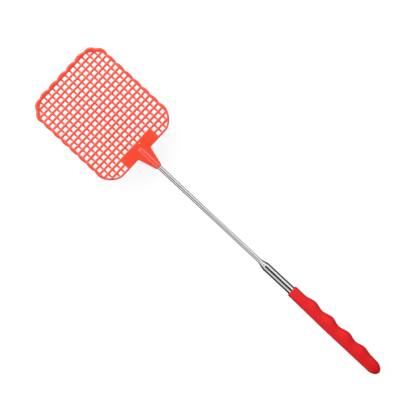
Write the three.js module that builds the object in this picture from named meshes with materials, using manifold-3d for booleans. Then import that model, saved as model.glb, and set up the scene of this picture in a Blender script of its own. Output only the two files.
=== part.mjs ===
// Telescopic fly swatter: a soft plastic grip, four nested steel tubes and a moulded mesh head.
// Millimetres. +Y runs along the tubes towards the head's tip, +Z out of the head's face,
// +X towards the side of the grip that carries the finger waves.
import * as THREE from "three";
import { mergeVertices } from "three/addons/utils/BufferGeometryUtils.js";
import Module from "manifold-3d";

const wasm = await Module();
wasm.setup();

// Overall
const TOTAL_LENGTH = 452.6;
const TIP_Y = TOTAL_LENGTH / 2;
const END_Y = -TOTAL_LENGTH / 2;
const AXIS_Z = 7;
const ROUND_SEGMENTS = 24;

// Head: the rim's outline runs through cusps, with a scallop between each pair
const HEAD_LENGTH = 120;
const HEAD_BOTTOM_Y = TIP_Y - HEAD_LENGTH;
const TOP_RISE = 1.75;
const SIDE_RISE = 1.15;
const CORNER_RISES = [3.05, 2.85];
const CUSP_HALF_WIDTH = 48.75;
const TOP_CUSP_Y = TIP_Y - TOP_RISE;
const TOP_CUSP_PITCH = 13.17;
const TOP_CUSP_COUNT = 6;
const CORNER_CUSP = new THREE.Vector2(44.8, TIP_Y - 8.55);
const SIDE_CUSP_PITCH = 12.14;
const SIDE_CUSP_COUNT = 7;
const SIDE_CUSP_START_Y = HEAD_BOTTOM_Y + 25;
const SCALLOP_SEGMENTS = 6;
const BOTTOM_CORNER_X = 32;
const BOTTOM_CORNER_Y = HEAD_BOTTOM_Y + 18.8;
const CORNER_HANDLE = 0.45;
const RIM_HALF_THICKNESS = 1.5;

// Head: opening inside the rim, and the grid that fills it
const OPENING_HALF_WIDTH = 46.4;
const OPENING_TOP_Y = TIP_Y - 5;
const OPENING_BOTTOM_Y = HEAD_BOTTOM_Y + 2.2;
const OPENING_SHOULDER_X = 12.3;
const OPENING_SHOULDER_Y = 12.5;
const OPENING_SHOULDER_SQUARENESS = 4.05;
const OPENING_CORNER = 14;
const COLUMN_COUNT = 15;
const COLUMN_PITCH = 6.334;
const COLUMN_BAR_WIDTH = 2.08;
const COLUMN_BAR_HALF_THICKNESS = 0.8;
const ROW_COUNT = 19;
const ROW_PITCH = 6.068;
const ROW_BAR_WIDTH = 2.44;
const ROW_BAR_HALF_THICKNESS = 1.1;
const FIRST_ROW_Y = TIP_Y - 6.8;

// Head: solid plate, neck web and the socket ridge that takes the rod
const PLATE_HALF_WIDTH = 23;
const PLATE_TOP_Y = HEAD_BOTTOM_Y + 14;
const PLATE_HALF_THICKNESS = ROW_BAR_HALF_THICKNESS;
const NECK_END_Y = HEAD_BOTTOM_Y - 21;
const NECK_TOP_HALF_WIDTH = 9.3;
const NECK_SHOULDER = new THREE.Vector2(4.9, NECK_END_Y + 5.4);
const NECK_TIP_HALF_WIDTH = 1.9;
const NECK_HALF_THICKNESS = 1.2;
const RIDGE_RADIUS = 3.05;
const RIDGE_TIP_RADIUS = 2.4;
const RIDGE_TAPER_Y = HEAD_BOTTOM_Y - 6;
const RIDGE_TIP_Y = HEAD_BOTTOM_Y + 7.6;
const SOCKET_DEPTH = 12;
const SOCKET_CLEARANCE = 0.1;
const SOCKET_FLOOR_GAP = 0.3;

// Tubes: four stages, each one step smaller than the last
const OUTER_RADIUS = 4.5;
const STAGE_STEP = 0.725;
const WALL = 0.375;
const NECK_LENGTH = 2.5;
const NECK_CLEARANCE = 0.1;
const NECK_LIP = 0.15;
const OUTER_TUBE_BASE_Y = END_Y + 9.3;
const OUTER_TUBE_NECK_Y = -65.4;
const NESTED_BASE_Y = OUTER_TUBE_BASE_Y + 5.3;
const DRAWN_BASE_Y = -69.2;

// Tube bases: a flared end and a rolled bead hold a pair of half-round friction shells
const FLARE_LENGTH = 0.9;
const BEAD_START = 7.7;
const BEAD_LENGTH = 0.7;
const BEAD_RAMP = 0.3;
const FLARE_CLEARANCE = 0.1;
const SHELL_START = 1.35;
const SHELL_LENGTH = 5.9;
const SHELL_CLEARANCE = 0.05;
const SHELL_ARC = THREE.MathUtils.degToRad(165);
const SHELL_SEGMENTS = 11;

// Base plug in the foot of the outer tube
const PLUG_FLANGE_RADIUS = 4.4;
const PLUG_FLANGE_THICKNESS = 1.1;
const PLUG_GAP = 0.1;
const PLUG_SPIGOT_LENGTH = 5;
const PLUG_CLEARANCE = 0.075;

// Grip
const GRIP_FRONT_Y = END_Y + 124.2;
const GRIP_BORE_RADIUS = OUTER_RADIUS + 0.1;
const GRIP_BORE_END_Y = OUTER_TUBE_BASE_Y - 1.6;
const GRIP_FRONT_FILLET = 0.7;
const GRIP_END_ROUNDING = 10.4;
const GRIP_END_HEIGHT_POWER = 0.5;
const GRIP_FRONT_HALF = 6.2;
const GRIP_REAR_HALF = 7;
const GRIP_TAPER_LENGTH = 48;
const GRIP_SEGMENTS = 32;
const GRIP_STATIONS = 44;
const GRIP_END_STATIONS = 6;
// The section goes from rounded in front to faceted behind, over this stretch behind the front
const FACETING_START = 12;
const FACETING_END = 30;
const FRONT_SECTION_POWER = 0.72;
const REAR_SECTION_POWER = 0.86;
const BACK_BEVEL_ANGLE = THREE.MathUtils.degToRad(24);
const BACK_BEVEL_START = 1.2;
const BACK_CORNER_POWER = 16;
// The scoops that the fingers lie in fade in and out over these stretches behind the front
const SCOOP_DEPTH = 0.21;
const SCOOP_BACKSIDE_SHARE = 0.15;
const SCOOP_SHIFT = 1.5;
const SCOOP_FADE_IN = [14, 27];
const SCOOP_FADE_OUT = [100, 112];
const SCOOP_EDGE = [-1.7, 1.8];
// How far the finger side stands from the axis, at distances behind the grip's front
const FINGER_WAVE = [
  [0, 6.25],
  [14, 6.25],
  [25.6, 8.7],
  [26.6, 8.7],
  [37.4, 6.6],
  [50.2, 9.1],
  [60.8, 6.65],
  [73.3, 9.1],
  [84.2, 6.9],
  [95.4, 9.1],
  [106.3, 7.4],
  [114.5, 7],
  [124.2, 6.5],
];
const WAVE_CREST = 9.1;

const RED = 0xff3f2a;
const CRIMSON = 0xe02a30;
const STEEL = 0xb9b6b2;
const BRASS = 0xc39a4b;
const DARK_STEEL = 0x8d8f92;

function stageRadius(stage) {
  return OUTER_RADIUS - stage * STAGE_STEP;
}

function boreRadius(stage) {
  return stageRadius(stage) - WALL;
}

function toManifold(geometry) {
  const bare = new THREE.BufferGeometry();
  bare.setAttribute("position", geometry.getAttribute("position"));
  bare.setIndex(geometry.getIndex());
  const merged = mergeVertices(bare, 1e-4);
  const vertProperties = Float32Array.from(merged.getAttribute("position").array);
  const triVerts = Uint32Array.from(merged.getIndex().array);
  return new wasm.Manifold(new wasm.Mesh({ numProp: 3, vertProperties, triVerts }));
}

function fromManifold(solid) {
  const mesh = solid.getMesh();
  const geometry = new THREE.BufferGeometry();
  geometry.setAttribute("position", new THREE.BufferAttribute(mesh.vertProperties, 3));
  geometry.setIndex(new THREE.BufferAttribute(mesh.triVerts, 1));
  return geometry;
}

function plateOf(shape, halfThickness) {
  const options = { depth: 2 * halfThickness, bevelEnabled: false, curveSegments: SCALLOP_SEGMENTS };
  const geometry = new THREE.ExtrudeGeometry(shape, options);
  geometry.translate(0, 0, -halfThickness);
  return toManifold(geometry);
}

function barOf(width, length, halfThickness, x, y) {
  const geometry = new THREE.BoxGeometry(width, length, 2 * halfThickness);
  geometry.translate(x, y, 0);
  return toManifold(geometry);
}

// A solid of revolution about the tube axis, from radius and Y pairs
function turned(profile) {
  const points = profile.map(([radius, y]) => new THREE.Vector2(radius, y));
  return new THREE.LatheGeometry(points, ROUND_SEGMENTS);
}

function mirrored(point) {
  return new THREE.Vector2(-point.x, point.y);
}

// The cusps from the lower right of the rim, over the top, to the lower left
function rimCusps() {
  const right = [];
  for (let i = 0; i < SIDE_CUSP_COUNT; i += 1) {
    right.push(new THREE.Vector2(CUSP_HALF_WIDTH, SIDE_CUSP_START_Y + i * SIDE_CUSP_PITCH));
  }
  right.push(CORNER_CUSP.clone());
  const top = [];
  for (let i = 0; i < TOP_CUSP_COUNT; i += 1) {
    const x = ((TOP_CUSP_COUNT - 1) / 2 - i) * TOP_CUSP_PITCH;
    top.push(new THREE.Vector2(x, TOP_CUSP_Y));
  }
  const left = right.map(mirrored).reverse();
  return [...right, ...top, ...left];
}

// How far each scallop stands out of its chord, in the order of the cusps
function scallopRises() {
  const side = new Array(SIDE_CUSP_COUNT - 1).fill(SIDE_RISE);
  const top = new Array(TOP_CUSP_COUNT - 1).fill(TOP_RISE);
  return [...side, ...CORNER_RISES, ...top, ...CORNER_RISES.toReversed(), ...side];
}

function scallopTo(shape, from, to, rise) {
  const outward = new THREE.Vector2(to.y - from.y, from.x - to.x).normalize();
  const control = from.clone().add(to).multiplyScalar(0.5).addScaledVector(outward, 2 * rise);
  shape.quadraticCurveTo(control.x, control.y, to.x, to.y);
}

function rimOutline() {
  const shape = new THREE.Shape();
  const cusps = rimCusps();
  const rises = scallopRises();
  const first = cusps[0];
  const bulge = CUSP_HALF_WIDTH + SIDE_RISE;
  const handleX = CORNER_HANDLE * (bulge - BOTTOM_CORNER_X);
  const handleY = CORNER_HANDLE * (BOTTOM_CORNER_Y - HEAD_BOTTOM_Y);
  shape.moveTo(-BOTTOM_CORNER_X, HEAD_BOTTOM_Y);
  shape.lineTo(BOTTOM_CORNER_X, HEAD_BOTTOM_Y);
  shape.bezierCurveTo(
    BOTTOM_CORNER_X + handleX, HEAD_BOTTOM_Y,
    bulge, BOTTOM_CORNER_Y - handleY,
    bulge, BOTTOM_CORNER_Y,
  );
  shape.quadraticCurveTo(bulge, (BOTTOM_CORNER_Y + first.y) / 2, first.x, first.y);
  for (let i = 1; i < cusps.length; i += 1) {
    scallopTo(shape, cusps[i - 1], cusps[i], rises[i - 1]);
  }
  shape.quadraticCurveTo(-bulge, (BOTTOM_CORNER_Y + first.y) / 2, -bulge, BOTTOM_CORNER_Y);
  shape.bezierCurveTo(
    -bulge, BOTTOM_CORNER_Y - handleY,
    -BOTTOM_CORNER_X - handleX, HEAD_BOTTOM_Y,
    -BOTTOM_CORNER_X, HEAD_BOTTOM_Y,
  );
  return shape;
}

// Rounded at the bottom corners and cut back on a shallow curve at the top ones
function openingOutline() {
  const shape = new THREE.Shape();
  const w = OPENING_HALF_WIDTH;
  const handle = CORNER_HANDLE * OPENING_CORNER;
  const low = OPENING_BOTTOM_Y;
  const high = OPENING_TOP_Y;
  const inwards = OPENING_SHOULDER_SQUARENESS;
  shape.moveTo(-w + OPENING_CORNER, low);
  shape.lineTo(w - OPENING_CORNER, low);
  shape.bezierCurveTo(
    w - OPENING_CORNER + handle, low, w, low + OPENING_CORNER - handle, w, low + OPENING_CORNER,
  );
  shape.lineTo(w, high - OPENING_SHOULDER_Y);
  shape.quadraticCurveTo(w - inwards, high - inwards, w - OPENING_SHOULDER_X, high);
  shape.lineTo(-w + OPENING_SHOULDER_X, high);
  shape.quadraticCurveTo(-w + inwards, high - inwards, -w, high - OPENING_SHOULDER_Y);
  shape.lineTo(-w, low + OPENING_CORNER);
  shape.bezierCurveTo(
    -w, low + OPENING_CORNER - handle, -w + OPENING_CORNER - handle, low, -w + OPENING_CORNER, low,
  );
  return shape;
}

// The bars run into the rim, and stop short of its outer edge
function headGrid() {
  const middleY = (OPENING_TOP_Y + OPENING_BOTTOM_Y) / 2;
  const length = OPENING_TOP_Y - OPENING_BOTTOM_Y + 2;
  const width = 2 * OPENING_HALF_WIDTH + 2;
  const bars = [];
  for (let i = 1; i < COLUMN_COUNT; i += 1) {
    const x = (i - COLUMN_COUNT / 2) * COLUMN_PITCH;
    bars.push(barOf(COLUMN_BAR_WIDTH, length, COLUMN_BAR_HALF_THICKNESS, x, middleY));
  }
  for (let i = 1; i < ROW_COUNT; i += 1) {
    const y = FIRST_ROW_Y - (i - 0.5) * ROW_PITCH;
    bars.push(barOf(width, ROW_BAR_WIDTH, ROW_BAR_HALF_THICKNESS, 0, y));
  }
  const grid = wasm.Manifold.union(bars);
  return grid.intersect(plateOf(rimOutline(), RIM_HALF_THICKNESS));
}

function neckOutline() {
  const shape = new THREE.Shape();
  const top = HEAD_BOTTOM_Y + 1;
  shape.moveTo(-NECK_TIP_HALF_WIDTH, NECK_END_Y);
  shape.lineTo(NECK_TIP_HALF_WIDTH, NECK_END_Y);
  shape.quadraticCurveTo(NECK_SHOULDER.x - 1, NECK_END_Y, NECK_SHOULDER.x, NECK_SHOULDER.y);
  shape.lineTo(NECK_TOP_HALF_WIDTH, top);
  shape.lineTo(-NECK_TOP_HALF_WIDTH, top);
  shape.lineTo(-NECK_SHOULDER.x, NECK_SHOULDER.y);
  shape.quadraticCurveTo(-NECK_SHOULDER.x + 1, NECK_END_Y, -NECK_TIP_HALF_WIDTH, NECK_END_Y);
  return shape;
}

function socketRidge() {
  const profile = [
    [0, NECK_END_Y],
    [RIDGE_RADIUS, NECK_END_Y],
    [RIDGE_RADIUS, RIDGE_TAPER_Y],
    [RIDGE_TIP_RADIUS, RIDGE_TIP_Y - RIDGE_TIP_RADIUS],
    [RIDGE_TIP_RADIUS * 0.7, RIDGE_TIP_Y - RIDGE_TIP_RADIUS * 0.3],
    [0, RIDGE_TIP_Y],
  ];
  return toManifold(turned(profile));
}

function socketBore() {
  const radius = stageRadius(3) + SOCKET_CLEARANCE;
  const profile = [
    [0, NECK_END_Y - 1],
    [radius, NECK_END_Y - 1],
    [radius, NECK_END_Y + SOCKET_DEPTH],
    [0, NECK_END_Y + SOCKET_DEPTH],
  ];
  return toManifold(turned(profile));
}

function swatterHead() {
  const opening = plateOf(openingOutline(), RIM_HALF_THICKNESS + 1);
  const rim = plateOf(rimOutline(), RIM_HALF_THICKNESS).subtract(opening);
  const plateMiddleY = (PLATE_TOP_Y + HEAD_BOTTOM_Y + 1) / 2;
  const plateLength = PLATE_TOP_Y - HEAD_BOTTOM_Y - 1;
  const plate = barOf(2 * PLATE_HALF_WIDTH, plateLength, PLATE_HALF_THICKNESS, 0, plateMiddleY);
  const neck = plateOf(neckOutline(), NECK_HALF_THICKNESS);
  const solid = wasm.Manifold.union([rim, headGrid(), plate, neck, socketRidge()]);
  return fromManifold(solid.subtract(socketBore()));
}

// The front end of a tube, drawn in to a lip that the next stage runs through
function neckProfile(stage, neckY) {
  const hole = stageRadius(stage + 1) + NECK_CLEARANCE;
  return [
    [stageRadius(stage), neckY],
    [hole + NECK_LIP, neckY + NECK_LENGTH],
    [hole, neckY + NECK_LENGTH],
    [hole, neckY + NECK_LENGTH - 1],
    [boreRadius(stage), neckY],
  ];
}

// The foot of a moving tube, with the groove for its friction shells
function footProfile(stage, baseY) {
  const radius = stageRadius(stage);
  const flare = boreRadius(stage - 1) - FLARE_CLEARANCE;
  return [
    [boreRadius(stage), baseY],
    [flare, baseY],
    [flare, baseY + FLARE_LENGTH],
    [radius, baseY + FLARE_LENGTH + BEAD_RAMP],
    [radius, baseY + BEAD_START - BEAD_RAMP],
    [flare, baseY + BEAD_START],
    [flare, baseY + BEAD_START + BEAD_LENGTH],
    [radius, baseY + BEAD_START + BEAD_LENGTH + BEAD_RAMP],
  ];
}

function closed(profile) {
  return turned([...profile, profile[0]]);
}

function outerTube() {
  const foot = [
    [boreRadius(0), OUTER_TUBE_BASE_Y],
    [OUTER_RADIUS, OUTER_TUBE_BASE_Y],
  ];
  return closed([...foot, ...neckProfile(0, OUTER_TUBE_NECK_Y)]);
}

function middleTube(stage) {
  const neckY = OUTER_TUBE_NECK_Y + stage * NECK_LENGTH;
  return closed([...footProfile(stage, NESTED_BASE_Y), ...neckProfile(stage, neckY)]);
}

function innerRod() {
  const tipY = NECK_END_Y + SOCKET_DEPTH - SOCKET_FLOOR_GAP;
  const tip = [
    [stageRadius(3), tipY],
    [boreRadius(3), tipY],
  ];
  return closed([...footProfile(3, DRAWN_BASE_Y), ...tip]);
}

function frictionShell(stage, baseY, turn) {
  const outer = boreRadius(stage - 1) - SHELL_CLEARANCE;
  const inner = stageRadius(stage) + SHELL_CLEARANCE;
  const shape = new THREE.Shape();
  shape.absarc(0, 0, outer, 0, SHELL_ARC, false);
  shape.absarc(0, 0, inner, SHELL_ARC, 0, true);
  const options = { depth: SHELL_LENGTH, bevelEnabled: false, curveSegments: SHELL_SEGMENTS };
  const geometry = new THREE.ExtrudeGeometry(shape, options);
  geometry.rotateZ(turn);
  geometry.rotateX(-Math.PI / 2);
  geometry.translate(0, baseY + SHELL_START, 0);
  return geometry;
}

function basePlug() {
  const footY = OUTER_TUBE_BASE_Y - PLUG_GAP;
  const spigot = boreRadius(0) - PLUG_CLEARANCE;
  return turned([
    [0, footY - PLUG_FLANGE_THICKNESS],
    [PLUG_FLANGE_RADIUS, footY - PLUG_FLANGE_THICKNESS],
    [PLUG_FLANGE_RADIUS, footY],
    [spigot, footY],
    [spigot, footY + PLUG_SPIGOT_LENGTH],
    [0, footY + PLUG_SPIGOT_LENGTH],
  ]);
}

// Eases from one wave point to the next, level at each
function fingerReach(behind) {
  const next = FINGER_WAVE.findIndex(([distance]) => distance >= behind - 1e-6);
  if (next <= 0) {
    return FINGER_WAVE[0][1];
  }
  const [fromDistance, fromReach] = FINGER_WAVE[next - 1];
  const [toDistance, toReach] = FINGER_WAVE[next];
  const share = THREE.MathUtils.smoothstep(behind, fromDistance, toDistance);
  return THREE.MathUtils.lerp(fromReach, toReach, share);
}

function gripHalf(behind) {
  const share = THREE.MathUtils.clamp(behind / GRIP_TAPER_LENGTH, 0, 1);
  return THREE.MathUtils.lerp(GRIP_FRONT_HALF, GRIP_REAR_HALF, share);
}

// The quarter behind the tube: a flat top, a long bevel and an upright side with soft corners
function backSection(across, height, half) {
  const sine = Math.sin(BACK_BEVEL_ANGLE);
  const cosine = Math.cos(BACK_BEVEL_ANGLE);
  const bevel = BACK_BEVEL_START * sine + half * cosine;
  const softMinimum = (...reaches) => {
    const powers = reaches.map((reach) => reach ** -BACK_CORNER_POWER);
    return powers.reduce((sum, power) => sum + power) ** (-1 / BACK_CORNER_POWER);
  };
  const slant = across * sine + height * cosine;
  const reach = softMinimum(half / across, half / height, bevel / slant);
  const top = softMinimum(half, bevel / cosine);
  return [reach * across, (reach * height * half) / top];
}

// How much of the section's height a finger's scoop takes away
function scoopShare(behind, across) {
  const { smoothstep } = THREE.MathUtils;
  const valley = (WAVE_CREST - fingerReach(behind - SCOOP_SHIFT)) / (WAVE_CREST - GRIP_FRONT_HALF);
  const faded = smoothstep(behind, ...SCOOP_FADE_IN) * (1 - smoothstep(behind, ...SCOOP_FADE_OUT));
  const fingerSide = THREE.MathUtils.lerp(SCOOP_BACKSIDE_SHARE, 1, smoothstep(across, ...SCOOP_EDGE));
  return SCOOP_DEPTH * valley * faded * fingerSide;
}

// One closed ring round the grip, pushed out on the finger side
function gripRing(y, widthScale, heightScale) {
  const ring = [];
  const behind = GRIP_FRONT_Y - y;
  const half = gripHalf(behind);
  const faceting = THREE.MathUtils.smoothstep(behind, FACETING_START, FACETING_END);
  const power = THREE.MathUtils.lerp(FRONT_SECTION_POWER, REAR_SECTION_POWER, faceting);
  for (let i = 0; i < GRIP_SEGMENTS; i += 1) {
    const angle = (2 * Math.PI * i) / GRIP_SEGMENTS;
    const unitX = Math.abs(Math.cos(angle)) ** power;
    const unitZ = Math.abs(Math.sin(angle)) ** power;
    const back = Math.cos(angle) < 0;
    let across = (back ? half : fingerReach(behind)) * unitX;
    let height = half * unitZ;
    if (back) {
      const [flatX, flatZ] = backSection(Math.max(unitX, 1e-6), Math.max(unitZ, 1e-6), half);
      across = THREE.MathUtils.lerp(across, flatX, faceting);
      height = THREE.MathUtils.lerp(height, flatZ, faceting);
    }
    across *= back ? -1 : 1;
    height *= Math.sign(Math.sin(angle)) * (1 - scoopShare(behind, across));
    ring.push(new THREE.Vector3(across * widthScale, y, height * heightScale));
  }
  return ring;
}

function boreRing(y) {
  const ring = [];
  for (let i = 0; i < GRIP_SEGMENTS; i += 1) {
    const angle = (2 * Math.PI * i) / GRIP_SEGMENTS;
    ring.push(new THREE.Vector3(GRIP_BORE_RADIUS * Math.cos(angle), y, GRIP_BORE_RADIUS * Math.sin(angle)));
  }
  return ring;
}

// Skins a row of equal rings, and closes both ends on a point at each end ring's middle
function skinned(rings, startY, endY) {
  const count = rings[0].length;
  const positions = rings.flat().flatMap((p) => [p.x, p.y, p.z]);
  const start = rings.length * count;
  const end = start + 1;
  positions.push(0, startY, 0, 0, endY, 0);
  const index = [];
  const last = (rings.length - 1) * count;
  for (let i = 0; i < count; i += 1) {
    const j = (i + 1) % count;
    index.push(start, i, j);
    index.push(end, last + j, last + i);
    for (let ring = 0; ring < rings.length - 1; ring += 1) {
      const a = ring * count;
      const b = a + count;
      index.push(a + i, b + i, b + j, a + i, b + j, a + j);
    }
  }
  const geometry = new THREE.BufferGeometry();
  geometry.setAttribute("position", new THREE.Float32BufferAttribute(positions, 3));
  geometry.setIndex(index);
  return geometry;
}

function gripGeometry() {
  const rings = [];
  for (let i = 1; i < GRIP_END_STATIONS; i += 1) {
    const angle = (Math.PI / 2) * (i / GRIP_END_STATIONS);
    const y = END_Y + GRIP_END_ROUNDING * (1 - Math.cos(angle));
    rings.push(gripRing(y, Math.sin(angle), Math.sin(angle) ** GRIP_END_HEIGHT_POWER));
  }
  const startY = END_Y + GRIP_END_ROUNDING;
  const frontY = GRIP_FRONT_Y - GRIP_FRONT_FILLET;
  for (let i = 0; i <= GRIP_STATIONS; i += 1) {
    rings.push(gripRing(THREE.MathUtils.lerp(startY, frontY, i / GRIP_STATIONS), 1, 1));
  }
  const drawnIn = 1 - GRIP_FRONT_FILLET / GRIP_FRONT_HALF;
  rings.push(gripRing(GRIP_FRONT_Y, drawnIn, drawnIn));
  rings.push(boreRing(GRIP_FRONT_Y));
  rings.push(boreRing(GRIP_BORE_END_Y));
  return skinned(rings, END_Y, GRIP_BORE_END_Y);
}

const group = new THREE.Group();
group.name = "fly_swatter";

function add(name, geometry, color, metalness, roughness) {
  const material = new THREE.MeshStandardMaterial({ color, metalness, roughness });
  geometry.translate(0, 0, AXIS_Z);
  const mesh = new THREE.Mesh(geometry, material);
  mesh.name = name;
  group.add(mesh);
}

add("grip", gripGeometry(), CRIMSON, 0, 0.5);
add("outer_tube", outerTube(), STEEL, 1, 0.25);
add("base_plug", basePlug(), DARK_STEEL, 1, 0.4);
for (let stage = 1; stage <= 3; stage += 1) {
  const baseY = stage === 3 ? DRAWN_BASE_Y : NESTED_BASE_Y;
  const tube = stage === 3 ? innerRod() : middleTube(stage);
  const tubeName = stage === 3 ? "inner_rod" : `middle_tube_${stage}`;
  add(`friction_shell_${stage}_a`, frictionShell(stage, baseY, 0), BRASS, 1, 0.35);
  add(`friction_shell_${stage}_b`, frictionShell(stage, baseY, Math.PI), BRASS, 1, 0.35);
  add(tubeName, tube, STEEL, 1, 0.25);
}
add("swatter_head", swatterHead(), RED, 0, 0.45);

export default group;
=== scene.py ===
# Telescopic fly swatter, in metres, in the row frame: +Y along the tubes towards the head's tip,
# +Z out of the head's upper face, +X to the finger side of the grip.
import bpy
import bmesh
import math
import numpy as np
from mathutils import Vector, Matrix
from mathutils.geometry import delaunay_2d_cdt


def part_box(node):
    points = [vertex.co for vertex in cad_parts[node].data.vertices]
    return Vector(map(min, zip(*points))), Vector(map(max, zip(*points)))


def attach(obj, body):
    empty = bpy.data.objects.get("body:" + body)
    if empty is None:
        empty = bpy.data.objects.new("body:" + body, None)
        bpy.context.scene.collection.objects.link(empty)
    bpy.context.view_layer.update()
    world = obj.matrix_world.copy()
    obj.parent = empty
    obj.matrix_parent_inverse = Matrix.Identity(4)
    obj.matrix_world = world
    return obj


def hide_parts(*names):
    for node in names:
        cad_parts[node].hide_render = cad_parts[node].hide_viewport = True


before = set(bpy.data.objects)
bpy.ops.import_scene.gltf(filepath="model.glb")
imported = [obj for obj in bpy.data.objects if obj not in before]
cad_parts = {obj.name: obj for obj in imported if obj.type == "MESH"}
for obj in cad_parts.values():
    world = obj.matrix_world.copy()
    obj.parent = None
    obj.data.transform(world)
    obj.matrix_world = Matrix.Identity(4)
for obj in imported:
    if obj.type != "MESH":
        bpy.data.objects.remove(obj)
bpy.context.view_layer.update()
MM = 0.001

HEAD_LO, HEAD_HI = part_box("swatter_head")
GRIP_LO, GRIP_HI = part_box("grip")
TUBE_LO, TUBE_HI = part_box("outer_tube")
MID_1_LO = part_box("middle_tube_1")[0]
MID_2_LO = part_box("middle_tube_2")[0]
ROD_LO, ROD_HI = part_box("inner_rod")
PLUG_LO, PLUG_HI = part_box("base_plug")
AXIS_Z = (TUBE_LO.z + TUBE_HI.z) / 2


# ---------------------------------------------------------------- mesh helpers

def piece(name, points_mm, faces, body, stands_for, material, slot, sharp=None):
    """A mesh piece from points in millimetres about the tube axis."""
    mesh = bpy.data.meshes.new(name)
    points = np.asarray(points_mm, float) * MM
    points[:, 2] += AXIS_Z
    mesh.from_pydata(points.tolist(), [], faces)
    mesh.validate()
    mesh.update()
    obj = bpy.data.objects.new(name, mesh)
    bpy.context.scene.collection.objects.link(obj)
    bm = bmesh.new()
    bm.from_mesh(mesh)
    bmesh.ops.recalc_face_normals(bm, faces=bm.faces)
    bm.to_mesh(mesh)
    bm.free()
    mesh.shade_smooth()
    if sharp is not None:
        mesh.set_sharp_from_angle(angle=math.radians(sharp))
    mesh.materials.append(material)
    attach(obj, body)
    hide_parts(*stands_for)
    return obj


def smooth_step(x, low, high):
    t = np.clip((x - low) / (high - low), 0, 1)
    return t * t * (3 - 2 * t)


def dome(share):
    """0 at the edge, 1 from one radius in, on a quarter circle."""
    s = np.clip(share, 0, 1)
    return np.sqrt(np.clip(1 - (1 - s) ** 2, 0, 1))


def soft_max(a, b, k):
    """The larger of two heights, with a fillet of about k where they cross."""
    h = np.clip(0.5 + 0.5 * (a - b) / k, 0, 1)
    return b * (1 - h) + a * h + k * h * (1 - h)


def quadratic(p0, p1, p2, count):
    t = np.linspace(0, 1, count, endpoint=False)[:, None]
    p0, p1, p2 = map(np.asarray, (p0, p1, p2))
    return (1 - t) ** 2 * p0 + 2 * t * (1 - t) * p1 + t ** 2 * p2


def cubic(p0, p1, p2, p3, count):
    t = np.linspace(0, 1, count, endpoint=False)[:, None]
    p0, p1, p2, p3 = map(np.asarray, (p0, p1, p2, p3))
    return (1 - t) ** 3 * p0 + 3 * t * (1 - t) ** 2 * p1 + 3 * t ** 2 * (1 - t) * p2 + t ** 3 * p3


def straight(p0, p1, step):
    p0, p1 = np.asarray(p0, float), np.asarray(p1, float)
    count = max(1, int(round(np.linalg.norm(p1 - p0) / step)))
    t = np.linspace(0, 1, count, endpoint=False)[:, None]
    return p0 + (p1 - p0) * t


def corner_arc(before, here, after, radius, most, count):
    """Points round a corner, from radius before it to radius past it, or a share most of its sides."""
    a, b = before - here, after - here
    la, lb = np.linalg.norm(a), np.linalg.norm(b)
    cut = min(radius, la * most, lb * most)
    start, end = here + a / la * cut, here + b / lb * cut
    t = np.linspace(0, 1, count)[:, None]
    return (1 - t) ** 2 * start + 2 * t * (1 - t) * here + t ** 2 * end


def mirrored(points):
    flipped = points[::-1].copy()
    flipped[:, 0] *= -1
    return flipped


def grid_of(xs, ys):
    grid_x, grid_y = np.meshgrid(xs, ys)
    return np.stack([grid_x.ravel(), grid_y.ravel()], axis=1)


def sides(loop):
    """Each point of a closed loop, with the one after it."""
    return zip(loop, np.roll(loop, -1, axis=0))


def area_of(polygon):
    x, y = polygon.T
    next_x, next_y = np.roll(polygon, -1, axis=0).T
    return 0.5 * abs((x * next_y - next_x * y).sum())


def distance_to(points, loop):
    """Distance from each point to a closed loop of points."""
    best = np.full(len(points), np.inf)
    for p, q in sides(loop):
        d = q - p
        t = np.clip(((points - p) @ d) / max(d @ d, 1e-12), 0, 1)
        best = np.minimum(best, np.hypot(*(points - p - t[:, None] * d).T))
    return best


def inside_of(points, loop):
    """Which points lie inside a closed loop."""
    x, y = points.T
    inside = np.zeros(len(points), bool)
    for (x0, y0), (x1, y1) in sides(loop):
        if y0 == y1:
            continue
        crosses = (y0 > y) != (y1 > y)
        inside ^= crosses & (x < (x1 - x0) * (y - y0) / (y1 - y0) + x0)
    return inside


def inset(loop, distance):
    """A counter-clockwise loop moved inwards by a distance (outwards if negative)."""
    before = loop - np.roll(loop, 1, axis=0)
    after = np.roll(loop, -1, axis=0) - loop
    before /= np.linalg.norm(before, axis=1)[:, None]
    after /= np.linalg.norm(after, axis=1)[:, None]
    tangent = before + after
    tangent /= np.linalg.norm(tangent, axis=1)[:, None]
    normal = np.stack([-tangent[:, 1], tangent[:, 0]], axis=1)
    slant = np.clip((tangent * after).sum(axis=1), 0.5, 1)
    return loop + normal * (distance / slant)[:, None]


def band_faces(start, n):
    """The faces between a ring of n points that begins at start and the ring that follows it."""
    pairs = [(i, (i + 1) % n) for i in range(n)]
    return [[start + i, start + j, start + n + j, start + n + i] for i, j in pairs]


# ---------------------------------------------------------------- the head
# Millimetres from here on, about the tube axis. Heights are measured from the head's middle plane.

HEAD_LENGTH = 120
TIP_Y = HEAD_HI.y / MM
BOTTOM_Y = TIP_Y - HEAD_LENGTH
NECK_END_Y = HEAD_LO.y / MM

# The scalloped edge: six scallops up each side, two round each upper corner, five along the top.
TOP_RISE, SIDE_RISE = 1.75, 1.15
CORNER_RISES = [3.05, 2.85]
TOP_PITCH, SIDE_PITCH = 13.17, 12.14
SIDE_SCALLOPS = 6
BULGE_X = HEAD_HI.x / MM
CUSP_X = BULGE_X - SIDE_RISE
CORNER_CUSP = (44.8, TIP_Y - 8.55)
FIRST_CUSP_Y = BOTTOM_Y + 25
SCALLOP_POINTS = 16

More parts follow.
